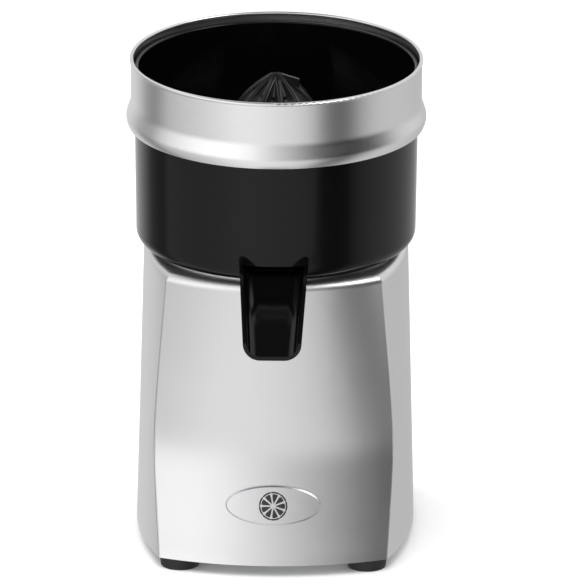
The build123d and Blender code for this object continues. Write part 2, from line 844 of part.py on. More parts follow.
def cooling_fan():
    high = shaft_low + fan_height
    hub = tube(shaft_radius + fan_hub_wall, shaft_radius, shaft_low, high)
    disc = tube(fan_radius, shaft_radius, high - fan_plate, high)
    fan = hub + disc
    blade_inner = shaft_radius + fan_hub_wall - 1
    blade_length = fan_radius - fan_plate - 1 - blade_inner
    blade = Box(blade_length, fan_plate, fan_height)
    blade = Pos(blade_inner + blade_length / 2, 0, (shaft_low + high) / 2) * blade
    for i in range(fan_blade_count):
        fan = fan + Rot(0, 0, 360 * i / fan_blade_count) * blade
    return fan


# ---- bowl with its spout ----

def below_floor(drop):
    # everything under the sloping floor plane, lowered by drop: high at the back, low at the spout
    reach = bowl_foot_radius - bowl_wall
    front = seat_z + floor_front_rise - drop
    back = seat_z + floor_back_rise - drop
    tilt = degrees(atan2(back - front, 2 * reach))
    block = Pos(0, 0, -far / 2) * Box(far, far, far)
    return Pos(0, 0, (front + back) / 2) * Rot(tilt, 0, 0) * block


def spout_line(y_front):
    # height of the channel's floor at a distance in front of the shaft
    level = seat_z + floor_front_rise
    if y_front <= spout_level_to:
        return level
    return along(y_front, spout_level_to, level, spout_reach, level - spout_drop)


def spout_section(y_front, width, low, high, corner):
    # a U-shaped section, square to Y, open edge upwards
    half = width / 2
    path = FilletPolyline(
        (-half, -y_front, high),
        (-half, -y_front, low),
        (half, -y_front, low),
        (half, -y_front, high),
        radius=corner,
    )
    top = Line((half, -y_front, high), (-half, -y_front, high))
    return make_face(path + top)


def spout_form(inset, bottom_drop, top_rise, start, corner):
    # the channel as a ruled solid: level through the bowl's wall, then sloping to the tip
    root_width = spout_root_width - 2 * inset
    tip_width = spout_tip_width - 2 * inset
    root_high = seat_z + spout_root_side + top_rise
    tip_high = spout_line(spout_reach) + spout_tip_side - spout_floor_thickness + top_rise
    ends = [
        (start, root_width, spout_line(start) - bottom_drop, root_high),
        (spout_level_to, root_width, spout_line(spout_level_to) - bottom_drop, root_high),
        (spout_reach, tip_width, spout_line(spout_reach) - bottom_drop, tip_high),
    ]
    sections = [spout_section(y, width, low, high, corner) for y, width, low, high in ends]
    return loft(sections, ruled=True)


def bowl_radius_at(z):
    # the wall leans out up to the splash guard's lower edge, then it is straight
    if z >= guard_bottom:
        return bowl_radius
    return along(z, seat_z, bowl_foot_radius, guard_bottom, bowl_radius)


def bowl_turned(inset, low, high):
    # the bowl's outer or inner shape as a solid of revolution
    return turned([
        (0, low),
        (bowl_foot_radius - inset, low),
        (bowl_radius - inset, guard_bottom),
        (bowl_radius - inset, high),
        (0, high),
    ])


def bowl():
    shell = bowl_turned(0, seat_z, bowl_top)
    shell = fillet(shell.edges().group_by(Axis.Z)[0], bowl_foot_fillet)
    spout_start = bowl_foot_radius - bowl_foot_fillet
    spout = spout_form(0, spout_floor_thickness, 0, spout_start, spout_corner_radius)
    ledge = rod(bowl_radius + guard_ledge_depth, guard_ledge_z, guard_ledge_z + guard_ledge_thickness)
    ledge = chamfer(ledge.edges().group_by(Axis.Z)[0], guard_ledge_depth - guard_ledge_land)
    body = shell + ledge + spout
    inside = bowl_turned(bowl_wall, seat_z - 1, bowl_top + 1)
    body = body - (inside - below_floor(0))
    under = rod(seat_inner_radius, seat_z - 1, bowl_top) & below_floor(floor_thickness)
    body = body - under
    channel_start = spout_start - spout_wall
    channel_corner = spout_corner_radius - spout_wall
    channel = spout_form(spout_wall, 0, spout_cut_rise, channel_start, channel_corner)
    body = body - (channel - bowl_turned(0, seat_z, bowl_top))
    gate_high = seat_z + spout_gate_rise
    gate = Pos(0, -spout_level_to / 2, gate_high - far / 2) * Box(far, spout_level_to + 2, far)
    body = body - (channel & gate)
    chimney = rod(chimney_radius, seat_z + floor_front_rise - floor_thickness / 2, seat_z + chimney_height)
    body = body + chimney - rod(chimney_bore, seat_z - 1, seat_z + chimney_height + 1)
    lug_z = seat_z + strainer_seat_height - strainer_lug_height / 2
    wall_radius = bowl_radius_at(lug_z) - bowl_wall
    for i in range(strainer_lug_count):
        lug = Box(strainer_lug_depth + bowl_wall / 2, strainer_lug_width, strainer_lug_height)
        lug = Pos(wall_radius - strainer_lug_depth / 2 + bowl_wall / 4, 0, lug_z) * lug
        body = body + Rot(0, 0, strainer_lug_start + 360 * i / strainer_lug_count) * lug
    lip = body.edges().filter_by(GeomType.CIRCLE).group_by(Axis.Z)[-1]
    return fillet(lip, 0.4 * bowl_wall)


# ---- strainer ----

def strainer():
    flange_low = seat_z + strainer_seat_height + seat_gap
    flange_high = flange_low + strainer_thickness
    outer = bowl_radius_at(flange_low) - bowl_wall - strainer_rim_clearance
    wall_outer = outer - strainer_flange_width
    floor_low = flange_high - strainer_depth
    floor_high = floor_low + strainer_thickness
    neck_inner = chimney_radius + strainer_neck_clearance
    neck_outer = neck_inner + strainer_thickness
    pan = tube(outer, wall_outer - strainer_thickness, flange_low, flange_high)
    pan = pan + tube(wall_outer, wall_outer - strainer_thickness, floor_low, flange_high)
    pan = pan + tube(wall_outer, neck_inner, floor_low, floor_high)
    pan = pan + tube(neck_outer, neck_inner, floor_low, floor_low + strainer_neck_height)
    slot = extrude(SlotOverall(slot_length, slot_width), strainer_thickness + 2)
    ring_step = (wall_outer - strainer_thickness - neck_outer) / (slot_ring_count + 1)
    cuts = []
    for ring in range(slot_ring_count):
        circle = neck_outer + (ring + 1) * ring_step
        count = floor(2 * pi * circle / slot_pitch)
        for i in range(count):
            cuts.append(Rot(0, 0, 360 * i / count) * Pos(circle, 0, floor_low - 1) * slot)
    return pan - cuts


# ---- drive hub ----

def drive_hub():
    low = seat_z + hub_low_height
    high = seat_z + hub_top_height
    skirt_low = seat_z + skirt_low_height
    skirt_high = seat_z + skirt_high_height
    hub = turned([
        (0, low),
        (hub_radius, low),
        (hub_radius, skirt_high - skirt_wall - skirt_slope / 3),
        (skirt_radius - skirt_wall, skirt_high - skirt_wall - skirt_slope),
        (skirt_radius - skirt_wall, skirt_low),
        (skirt_radius, skirt_low),
        (skirt_radius, skirt_high - skirt_slope),
        (hub_radius + skirt_wall, skirt_high),
        (hub_radius, skirt_high),
        (hub_radius, high),
        (0, high),
    ])
    key = Box(hub_key_depth + 1, hub_key_width, hub_key_length)
    key = Pos(hub_radius + (hub_key_depth - 1) / 2, 0, skirt_high + hub_key_length / 2) * key
    for i in range(hub_key_count):
        hub = hub + Rot(0, 0, hub_key_start + 360 * i / hub_key_count) * key
    flats = 2 * (shaft_radius - shaft_flat_depth + hub_fit)
    bore = Circle(shaft_radius + hub_fit) & Rectangle(4 * shaft_radius, flats)
    bore_top = high - hub_crown
    bore = Pos(0, 0, low - 1) * extrude(bore, bore_top - low + 1)
    return hub - bore


# ---- reamer ----

def ogive(inset, low):
    # the face between the cone's bulging outline, moved inwards, and the shaft's axis
    start = (reamer_radius - inset, 0, low)
    middle = (
        reamer_radius - reamer_shoulder_inset - inset * cos(reamer_shoulder_angle),
        0,
        reamer_top - reamer_shoulder_drop - inset * sin(reamer_shoulder_angle),
    )
    end = (reamer_tip_radius, 0, reamer_top - inset)
    rest = Polyline(end, (0, 0, end[2]), (0, 0, low), start)
    return make_face(ThreePointArc(start, middle, end) + rest)


def reamer_rib(low):
    # a plate in the shaft's plane whose sides slope together towards its edge
    half = extrude(ogive(0, low), reamer_rib_thickness / 2, dir=(0, 1, 0), taper=reamer_rib_taper)
    return half + mirror(half, Plane.XZ)


def reamer_fin():
    # a blade that stands on the upper end of one rib, with its outer top corner rounded
    blade = Box(reamer_fin_radius, reamer_fin_thickness, reamer_fin_height)
    blade = Pos(reamer_fin_radius / 2, 0, reamer_top - reamer_fin_height / 2) * blade
    corner = blade.edges().filter_by(Axis.Y).group_by(Axis.X)[-1].sort_by(Axis.Z)[-1]
    return fillet(corner, reamer_fin_round)


def reamer_hollow(sleeve_radius):
    # the space under the cone, around the sleeve that takes the hub
    dome = revolve(ogive(reamer_valley + reamer_wall, reamer_base - 1), Axis.Z)
    return dome - rod(sleeve_radius, reamer_base - 2, reamer_top)


def reamer():
    brim_top = reamer_base + reamer_brim_height
    body = revolve(ogive(reamer_valley, brim_top), Axis.Z)
    body = body + rod(reamer_radius + reamer_brim_width, reamer_base, brim_top)
    rib = reamer_rib(brim_top)
    for i in range(reamer_rib_count):
        body = body + Rot(0, 0, reamer_rib_start + 360 * i / reamer_rib_count) * rib
    body = body + Rot(0, 0, reamer_rib_start) * reamer_fin()
    socket_radius = hub_radius + reamer_socket_clearance
    socket_top = seat_z + hub_top_height + reamer_socket_clearance
    body = body - reamer_hollow(socket_radius + reamer_wall)
    body = body - rod(socket_radius, reamer_base - 1, socket_top)
    key_room = 2 * reamer_socket_clearance
    slot = Box(hub_key_depth + key_room, hub_key_width + key_room, hub_key_length + 2)
    slot = Pos(hub_radius + hub_key_depth / 2, 0, reamer_base + hub_key_length / 2) * slot
    for i in range(hub_key_count):
        body = body - Rot(0, 0, hub_key_start + 360 * i / hub_key_count) * slot
    return body


# ---- splash guard: a spun sheet ring with a beaded foot and a rolled rim ----

def splash_guard():
    low = guard_bottom
    wall_low = low + guard_shoulder_height
    rim_z = guard_top
    bead_z = low + guard_bead_height
    rise = guard_shoulder_height - guard_bead_height
    outer = [
        (guard_hem_radius, low),
        (guard_bead_radius - 0.35, low + guard_bead_height / 2),
        (guard_bead_radius, bead_z),
        (guard_bead_radius - 0.75, bead_z + rise * 0.28),
        (guard_radius + 0.9, bead_z + rise * 0.6),
        (guard_radius + 0.1, bead_z + rise * 0.88),
        (guard_radius, wall_low),
    ]
    inner = [(r - guard_thickness, z) for r, z in outer]
    outside = Spline(*[(r, 0, z) for r, z in outer])
    inside = Spline(*[(r, 0, z) for r, z in reversed(inner)])
    foot = Line((inner[0][0], 0, low), (outer[0][0], 0, low))
    rise_line = Polyline(
        (guard_radius, 0, wall_low),
        (guard_radius, 0, rim_z),
        (guard_radius - guard_thickness, 0, rim_z),
        (guard_radius - guard_thickness, 0, wall_low),
    )
    sheet = revolve(make_face(outside + rise_line + inside + foot), Axis.Z)
    rim_circle = guard_radius - guard_thickness / 2
    rim = Pos(0, 0, rim_z) * Torus(rim_circle, rim_tube_radius)
    return sheet + rim


# ---- write every piece ----

def pieces():
    made = {
        "housing": housing(),
        "base_plate": base_plate(),
        "base_screws": base_screws(),
        "foot_screws": foot_screws(),
        "foot_nuts": foot_nuts(),
        "badge": badge(),
        "shaft_collar": shaft_collar(),
        "shaft_seal": shaft_seal(),
        "gland_body": gland_body(),
        "gland_locknut": gland_locknut(),
        "switch_body": switch_body(),
        "switch_terminals": switch_terminals(),
        "switch_rocker": switch_rocker(),
        "capacitor": capacitor(),
        "capacitor_clip": capacitor_clip(),
        "terminal_block": terminal_block(),
        "stator_stack": stator_stack(),
        "windings_upper": winding(stator_high),
        "windings_lower": winding(stator_low - winding_height),
        "end_shield_upper": end_shield(True),
        "end_shield_lower": end_shield(False),
        "tie_bolts": tie_bolts(),
        "motor_screws": motor_screws(),
        "bearing_upper_outer_ring": bearing_outer(upper_bearing_low),
        "bearing_upper_inner_ring": bearing_inner(upper_bearing_low),
        "bearing_upper_balls": bearing_balls(upper_bearing_low),
        "bearing_lower_outer_ring": bearing_outer(lower_bearing_low),
        "bearing_lower_inner_ring": bearing_inner(lower_bearing_low),
        "bearing_lower_balls": bearing_balls(lower_bearing_low),
        "wave_washer": wave_washer(),
        "motor_shaft": motor_shaft(),
        "rotor_stack": rotor_stack(),
        "cooling_fan": cooling_fan(),
        "bowl": bowl(),
        "strainer": strainer(),
        "drive_hub": drive_hub(),
        "reamer": reamer(),
        "splash_guard": splash_guard(),
    }
    for name, place in foot_places().items():
        made[name] = place * foot()
    return made


os.makedirs("parts", exist_ok=True)
for name, shape in pieces().items():
    export_step(Pos(0, shaft_y, 0) * shape, f"parts/{name}.step")
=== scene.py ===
import json
import math

import bmesh
import bpy
import numpy as np
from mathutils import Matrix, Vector


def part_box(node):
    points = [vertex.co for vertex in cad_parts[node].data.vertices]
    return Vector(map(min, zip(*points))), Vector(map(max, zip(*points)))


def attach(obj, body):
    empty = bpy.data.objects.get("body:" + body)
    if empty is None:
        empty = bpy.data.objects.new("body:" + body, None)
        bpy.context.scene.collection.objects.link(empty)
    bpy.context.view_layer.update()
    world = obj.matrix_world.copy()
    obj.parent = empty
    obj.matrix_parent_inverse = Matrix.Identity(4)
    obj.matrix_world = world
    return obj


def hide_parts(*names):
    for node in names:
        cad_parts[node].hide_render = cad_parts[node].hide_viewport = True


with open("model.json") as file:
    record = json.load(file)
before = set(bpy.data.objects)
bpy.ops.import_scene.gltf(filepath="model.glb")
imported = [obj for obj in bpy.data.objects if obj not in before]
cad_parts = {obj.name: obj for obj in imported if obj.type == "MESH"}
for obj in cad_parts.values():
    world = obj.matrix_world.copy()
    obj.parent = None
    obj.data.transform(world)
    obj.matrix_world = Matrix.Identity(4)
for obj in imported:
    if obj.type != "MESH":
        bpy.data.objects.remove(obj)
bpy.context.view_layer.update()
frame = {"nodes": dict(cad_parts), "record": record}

# Citrus press juicer. The CAD bodies are the fixed frame; everything here is in metres.

shaftLow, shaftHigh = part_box("motor_shaft")
shaftX = (shaftLow.x + shaftHigh.x) / 2
shaftY = (shaftLow.y + shaftHigh.y) / 2
print("frame loaded, shaft axis at", round(shaftX, 4), round(shaftY, 4))


# meshes worked out on numpy grids

def gridQuads(rows, columns):
    # corner numbers of every cell of a grid stored row after row, whose last column meets its first
    row, column = np.meshgrid(np.arange(rows - 1), np.arange(columns), indexing="ij")
    here, there = row * columns, (row + 1) * columns
    beside = (column + 1) % columns
    return np.stack([here + column, here + beside, there + beside, there + column], -1).reshape(-1, 4)


weldDistance = 1e-7         # points nearer than this are one


def makePiece(name, points, faces, material, smooth=True):
    # points that coincide, as at a pole, become one
    mesh = bpy.data.meshes.new(name)
    mesh.from_pydata(np.asarray(points, float).reshape(-1, 3).tolist(), [], np.asarray(faces).tolist())
    merged = bmesh.new()
    merged.from_mesh(mesh)
    bmesh.ops.remove_doubles(merged, verts=merged.verts, dist=weldDistance)
    merged.to_mesh(mesh)
    merged.free()
    mesh.polygons.foreach_set("use_smooth", [smooth] * len(mesh.polygons))
    mesh.update()
    piece = bpy.data.objects.new(name, mesh)
    bpy.context.scene.collection.objects.link(piece)
    mesh.materials.append(material)
    return piece


def turnedPoints(radii, heights, steps, centre=(0.0, 0.0)):
    # each profile point goes once round the vertical axis: x = cx + r cos a, y = cy + r sin a
    angle = np.linspace(0, 2 * np.pi, steps, endpoint=False)
    r, a = np.meshgrid(radii, angle, indexing="ij")
    z = np.broadcast_to(np.asarray(heights)[:, None], r.shape)
    return np.stack([centre[0] + r * np.cos(a), centre[1] + r * np.sin(a), z], -1)


# shader effects shared by several finishes

def newGroup(name, inputs, outputs):
    group = bpy.data.node_groups.new(name, "ShaderNodeTree")
    for label, kind, value in inputs:
        socket = group.interface.new_socket(name=label, in_out="INPUT", socket_type=kind)
        if value is not None:
            socket.default_value = value
    for label, kind in outputs:
        group.interface.new_socket(name=label, in_out="OUTPUT", socket_type=kind)
    return group, group.nodes.new("NodeGroupInput"), group.nodes.new("NodeGroupOutput")


def mathNode(tree, operation, a, b=None, clamp=False):
    node = tree.nodes.new("ShaderNodeMath")
    node.operation = operation
    node.use_clamp = clamp
    for socket, value in zip(node.inputs, (a, b)):
        if value is None:
            continue
        if isinstance(value, (int, float)):
            socket.default_value = value
        else:
            tree.links.new(value, socket)
    return node.outputs[0]


def noiseNode(tree, vector, scale, detail=2.0, roughness=0.5):
    node = tree.nodes.new("ShaderNodeTexNoise")
    tree.links.new(vector, node.inputs["Vector"])
    if isinstance(scale, (int, float)):
        node.inputs["Scale"].default_value = scale
    else:
        tree.links.new(scale, node.inputs["Scale"])
    node.inputs["Detail"].default_value = detail
    node.inputs["Roughness"].default_value = roughness
    return node.outputs["Fac"]


def buildSpunBrushing():
    # fine lines that run round the vertical axis: noise that changes quickly with height and with
    # distance from the axis, and slowly along the turn
    group, source, sink = newGroup(
        "spunBrushing",
        [("Vector", "NodeSocketVector", None), ("Lines", "NodeSocketFloat", 2600.0),
         ("Length", "NodeSocketFloat", 9.0)],
        [("Streak", "NodeSocketFloat")],
    )
    links = group.links
    split = group.nodes.new("ShaderNodeSeparateXYZ")
    links.new(source.outputs["Vector"], split.inputs[0])
    flat = group.nodes.new("ShaderNodeCombineXYZ")
    links.new(split.outputs["X"], flat.inputs["X"])
    links.new(split.outputs["Y"], flat.inputs["Y"])
    unit = group.nodes.new("ShaderNodeVectorMath")
    unit.operation = "NORMALIZE"
    links.new(flat.outputs[0], unit.inputs[0])
    radius = group.nodes.new("ShaderNodeVectorMath")
    radius.operation = "LENGTH"
    links.new(flat.outputs[0], radius.inputs[0])
    aroundUnit = group.nodes.new("ShaderNodeSeparateXYZ")
    links.new(unit.outputs[0], aroundUnit.inputs[0])
    across = mathNode(group, "ADD", split.outputs["Z"], radius.outputs["Value"])
    across = mathNode(group, "MULTIPLY", across, source.outputs["Lines"])
    alongX = mathNode(group, "MULTIPLY", aroundUnit.outputs["X"], source.outputs["Length"])
    alongY = mathNode(group, "MULTIPLY", aroundUnit.outputs["Y"], source.outputs["Length"])
    joined = group.nodes.new("ShaderNodeCombineXYZ")
    links.new(alongX, joined.inputs["X"])
    links.new(alongY, joined.inputs["Y"])
    links.new(across, joined.inputs["Z"])
    links.new(noiseNode(group, joined.outputs[0], 1.0, 3.0, 0.6), sink.inputs["Streak"])
    return group


def buildGrain():
    # two sizes of speckle added together, for sprayed, cast and moulded skins
    group, source, sink = newGroup(
        "grain",
        [("Vector", "NodeSocketVector", None), ("Scale", "NodeSocketFloat", 900.0),
         ("Coarse", "NodeSocketFloat", 0.35)],
        [("Height", "NodeSocketFloat")],
    )
    fine = noiseNode(group, source.outputs["Vector"], source.outputs["Scale"], 2.0, 0.55)
    wide = mathNode(group, "MULTIPLY", source.outputs["Scale"], 0.16)
    coarse = noiseNode(group, source.outputs["Vector"], wide, 2.0, 0.5)
    weighted = mathNode(group, "MULTIPLY", coarse, source.outputs["Coarse"])
    group.links.new(mathNode(group, "ADD", fine, weighted), sink.inputs["Height"])
    return group


def buildHandling():
    # broad soft patches where hands and cloths have dulled or polished a surface, from 0 to 1
    group, source, sink = newGroup(
        "handling",
        [("Vector", "NodeSocketVector", None), ("Scale", "NodeSocketFloat", 14.0),
         ("Contrast", "NodeSocketFloat", 1.6)],
        [("Mask", "NodeSocketFloat")],
    )
    patch = noiseNode(group, source.outputs["Vector"], source.outputs["Scale"], 4.0, 0.6)
    centred = mathNode(group, "SUBTRACT", patch, 0.5)
    stretched = mathNode(group, "MULTIPLY", centred, source.outputs["Contrast"])
    group.links.new(mathNode(group, "ADD", stretched, 0.5, clamp=True), sink.inputs["Mask"])
    return group


effects = {"spunBrushing": buildSpunBrushing(), "grain": buildGrain(), "handling": buildHandling()}
print("shader effects built:", ", ".join(effects))


# finishes

def startMaterial(name, centre=(0.0, 0.0, 0.0)):
    material = bpy.data.materials.new(name)
    material.use_nodes = True
    tree = material.node_tree
    shader = tree.nodes["Principled BSDF"]
    place = tree.nodes.new("ShaderNodeTexCoord")
    centred = tree.nodes.new("ShaderNodeMapping")
    centred.inputs["Location"].default_value = [-v for v in centre]
    tree.links.new(place.outputs["Object"], centred.inputs["Vector"])
    return material, tree, shader, centred.outputs["Vector"]


def addEffect(tree, effect, vector, **values):
    node = tree.nodes.new("ShaderNodeGroup")
    node.node_tree = effects[effect]
    tree.links.new(vector, node.inputs["Vector"])
    for label, value in values.items():
        node.inputs[label].default_value = value
    return node.outputs[0]


def spread(tree, value, low, high):
    # turns a 0 to 1 value into one between low and high
    node = tree.nodes.new("ShaderNodeMapRange")
    node.inputs["To Min"].default_value = low
    node.inputs["To Max"].default_value = high
    tree.links.new(value, node.inputs["Value"])
    return node.outputs["Result"]


def tint(tree, value, dark, light):
    node = tree.nodes.new("ShaderNodeMix")
    node.data_type = "RGBA"
    node.inputs["A"].default_value = (*dark, 1)
    node.inputs["B"].default_value = (*light, 1)
    tree.links.new(value, node.inputs["Factor"])
    return node.outputs["Result"]


def addBump(tree, shader, height, distance, strength=1.0):
    node = tree.nodes.new("ShaderNodeBump")
    node.inputs["Distance"].default_value = distance
    node.inputs["Strength"].default_value = strength
    tree.links.new(height, node.inputs["Height"])
    tree.links.new(node.outputs["Normal"], shader.inputs["Normal"])


streakShare = 0.7           # how much of spun steel's colour follows its brushing; handling has the rest
grainShare, handlingShare = 0.45, 0.4       # the same for the roughness of grained metal


def blendOf(tree, first, firstShare, second, secondShare):
    return mathNode(tree, "ADD", mathNode(tree, "MULTIPLY", first, firstShare),
                    mathNode(tree, "MULTIPLY", second, secondShare))


def spunSteel(name, look):
    # stainless sheet, brushed round the axis
    material, tree, shader, vector = startMaterial(name, (shaftX, shaftY, 0))
    streak = addEffect(tree, "spunBrushing", vector, Lines=look["lines"], Length=look["length"])
    dulled = addEffect(tree, "handling", vector, Scale=look["patches"])
    mixed = blendOf(tree, streak, streakShare, dulled, 1 - streakShare)
    tree.links.new(tint(tree, mixed, look["dark"], look["light"]), shader.inputs["Base Color"])
    tree.links.new(spread(tree, mixed, *look["roughness"]), shader.inputs["Roughness"])
    shader.inputs["Metallic"].default_value = 1.0
    addBump(tree, shader, streak, look["bump"])
    return material


def grainedMetal(name, look):
    # cast, painted or plated metal with a fine sprayed or rolled grain
    material, tree, shader, vector = startMaterial(name)
    grain = addEffect(tree, "grain", vector, Scale=look["grain"])
    dulled = addEffect(tree, "handling", vector, Scale=look["patches"])
    tree.links.new(tint(tree, dulled, look["dark"], look["light"]), shader.inputs["Base Color"])
    mixed = blendOf(tree, grain, grainShare, dulled, handlingShare)
    tree.links.new(spread(tree, mixed, *look["roughness"]), shader.inputs["Roughness"])
    shader.inputs["Metallic"].default_value = look["metallic"]
    addBump(tree, shader, grain, look["bump"])
    return material


def mouldedPlastic(name, look):
    # gloss or fine-textured plastic and rubber
    material, tree, shader, vector = startMaterial(name)
    grain = addEffect(tree, "grain", vector, Scale=look["grain"])
    dulled = addEffect(tree, "handling", vector, Scale=look["patches"])
    tree.links.new(tint(tree, dulled, look["dark"], look["light"]), shader.inputs["Base Color"])
    tree.links.new(spread(tree, dulled, *look["roughness"]), shader.inputs["Roughness"])
    shader.inputs["Specular IOR Level"].default_value = look.get("specular", 0.5)
    addBump(tree, shader, grain, look["bump"])
    return material


def laminatedSteel(name, look):
    # stacked sheets: fine dark lines at even heights
    material, tree, shader, vector = startMaterial(name)
    split = tree.nodes.new("ShaderNodeSeparateXYZ")
    tree.links.new(vector, split.inputs[0])
    phase = mathNode(tree, "MULTIPLY", split.outputs["Z"], 2 * math.pi / look["sheet"])
    lines = mathNode(tree, "ADD", mathNode(tree, "MULTIPLY", mathNode(tree, "SINE", phase), 0.5), 0.5)
    tree.links.new(tint(tree, lines, look["dark"], look["light"]), shader.inputs["Base Color"])
    tree.links.new(spread(tree, lines, *look["roughness"]), shader.inputs["Roughness"])
    shader.inputs["Metallic"].default_value = look["metallic"]
    addBump(tree, shader, lines, look["bump"])
    return material


def woundCopper(name, look):
    # varnished wire laid round the axis
    material, tree, shader, vector = startMaterial(name, (shaftX, shaftY, 0))
    streak = addEffect(tree, "spunBrushing", vector, Lines=look["lines"], Length=look["length"])
    tree.links.new(tint(tree, streak, look["dark"], look["light"]), shader.inputs["Base Color"])
    tree.links.new(spread(tree, streak, *look["roughness"]), shader.inputs["Roughness"])
    shader.inputs["Metallic"].default_value = look["metallic"]
    addBump(tree, shader, streak, look["bump"])
    return material


steelLooks = {
    "stainless_guard": dict(dark=(0.66, 0.66, 0.66), light=(0.80, 0.80, 0.80), roughness=(0.24, 0.34),
                            lines=2600.0, length=9.0, patches=11.0, bump=0.000012),
    "stainless_strainer": dict(dark=(0.55, 0.55, 0.56), light=(0.74, 0.74, 0.75), roughness=(0.22, 0.36),
                               lines=1800.0, length=7.0, patches=18.0, bump=0.00001),
    "shaft_steel": dict(dark=(0.45, 0.45, 0.46), light=(0.62, 0.62, 0.63), roughness=(0.18, 0.30),
                        lines=3500.0, length=5.0, patches=40.0, bump=0.000006),
    "bearing_steel": dict(dark=(0.55, 0.55, 0.57), light=(0.70, 0.70, 0.72), roughness=(0.10, 0.20),
                          lines=3500.0, length=5.0, patches=60.0, bump=0.000003),
}
metalLooks = {
    "housing_silver": dict(dark=(0.66, 0.66, 0.66), light=(0.72, 0.72, 0.72), roughness=(0.28, 0.38),
                           metallic=0.97, grain=2400.0, patches=7.0, bump=0.00002),
    "badge_metal": dict(dark=(0.62, 0.62, 0.63), light=(0.74, 0.74, 0.75), roughness=(0.26, 0.36),
                        metallic=1.0, grain=3000.0, patches=30.0, bump=0.000008),
    "steel_sheet": dict(dark=(0.42, 0.43, 0.44), light=(0.58, 0.59, 0.60), roughness=(0.32, 0.48),
                        metallic=1.0, grain=700.0, patches=16.0, bump=0.00002),
    "plated_steel": dict(dark=(0.55, 0.56, 0.58), light=(0.74, 0.75, 0.76), roughness=(0.18, 0.32),
                         metallic=1.0, grain=1600.0, patches=50.0, bump=0.00001),
    "bare_aluminium": dict(dark=(0.52, 0.53, 0.54), light=(0.68, 0.69, 0.70), roughness=(0.40, 0.58),
                           metallic=1.0, grain=520.0, patches=20.0, bump=0.00006),
    "terminal_brass": dict(dark=(0.52, 0.38, 0.16), light=(0.78, 0.60, 0.30), roughness=(0.25, 0.40),
                           metallic=1.0, grain=1500.0, patches=60.0, bump=0.00001),
}
plasticLooks = {
    "black_gloss": dict(dark=(0.0012, 0.0012, 0.0012), light=(0.0022, 0.0022, 0.0023), roughness=(0.06, 0.12),
                        grain=260.0, patches=9.0, bump=0.000004, specular=0.24),
    "black_gloss_hub": dict(dark=(0.006, 0.006, 0.006), light=(0.012, 0.012, 0.012), roughness=(0.18, 0.30),
                            grain=500.0, patches=20.0, bump=0.00001),
    "black_gloss_reamer": dict(dark=(0.008, 0.008, 0.008), light=(0.016, 0.016, 0.016), roughness=(0.20, 0.32),
                               grain=600.0, patches=20.0, bump=0.00001),
    "foot_rubber": dict(dark=(0.010, 0.010, 0.010), light=(0.022, 0.022, 0.022), roughness=(0.55, 0.75),
                        grain=1100.0, patches=30.0, bump=0.00005, specular=0.35),
    "matte_black": dict(dark=(0.012, 0.012, 0.012), light=(0.022, 0.022, 0.022), roughness=(0.42, 0.58),
                        grain=1500.0, patches=40.0, bump=0.00004),
    "rocker_black": dict(dark=(0.010, 0.010, 0.010), light=(0.018, 0.018, 0.018), roughness=(0.22, 0.34),
                         grain=900.0, patches=60.0, bump=0.00001),
    "capacitor_can": dict(dark=(0.62, 0.62, 0.60), light=(0.76, 0.76, 0.73), roughness=(0.32, 0.45),
                          grain=700.0, patches=25.0, bump=0.00002),
    "terminal_white": dict(dark=(0.68, 0.66, 0.60), light=(0.80, 0.78, 0.72), roughness=(0.35, 0.50),
                           grain=900.0, patches=30.0, bump=0.00002),
}
laminationLook = dict(dark=(0.10, 0.10, 0.11), light=(0.30, 0.30, 0.31), roughness=(0.35, 0.55), sheet=0.001,
                      metallic=0.9, bump=0.00005)
copperLook = dict(dark=(0.28, 0.09, 0.03), light=(0.62, 0.26, 0.11), roughness=(0.22, 0.38), lines=900.0,
                  length=4.0, metallic=0.8, bump=0.0003)

finishes = {}
finishes.update({slot: spunSteel(slot, look) for slot, look in steelLooks.items()})
finishes.update({slot: grainedMetal(slot, look) for slot, look in metalLooks.items()})
finishes.update({slot: mouldedPlastic(slot, look) for slot, look in plasticLooks.items()})
finishes["lamination_steel"] = laminatedSteel("lamination_steel", laminationLook)
finishes["copper_winding"] = woundCopper("copper_winding", copperLook)

for entry in frame["record"]["subparts"]:
    node = frame["nodes"][entry["node"]]
    node.data.materials.clear()
    node.data.materials.append(finishes[entry["material_slot"]])


# reamer: a fluted cone with sharp ridges, a brim, a sleeve for the hub and one short fin

reamerShape = dict(ribs=10, turn=-8.0, brim=0.001, footHeight=0.005, shoulderIn=0.0125, shoulderDrop=0.0215,
                   tipRadius=0.0046, tipDrop=0.0012, depth=0.0068, depthShare=0.40, scoopPower=2.2, rows=64,
                   stepsPerRib=36, crown=0.0004, crownRings=(0.7, 0.35, 0.0), thickness=0.0022)
sleeve = dict(bore=0.0103, wall=0.003, boreDepth=0.0223, top=0.013, steps=64)
fin = dict(start=0.001, reach=0.0162, slope=0.0026, height=0.0086, lean=0.0002, root=0.0095, rootRise=0.0006,
           corner=0.0016, cornerPoints=7, thickness=0.002)


def circleThrough(p, q, r):
    # centre and radius of the circle through three points of the (radius, height) plane
    system = 2 * np.array([q - p, r - p])
    centre = np.linalg.solve(system, [q @ q - p @ p, r @ r - p @ p])
    return centre, np.linalg.norm(p - centre)


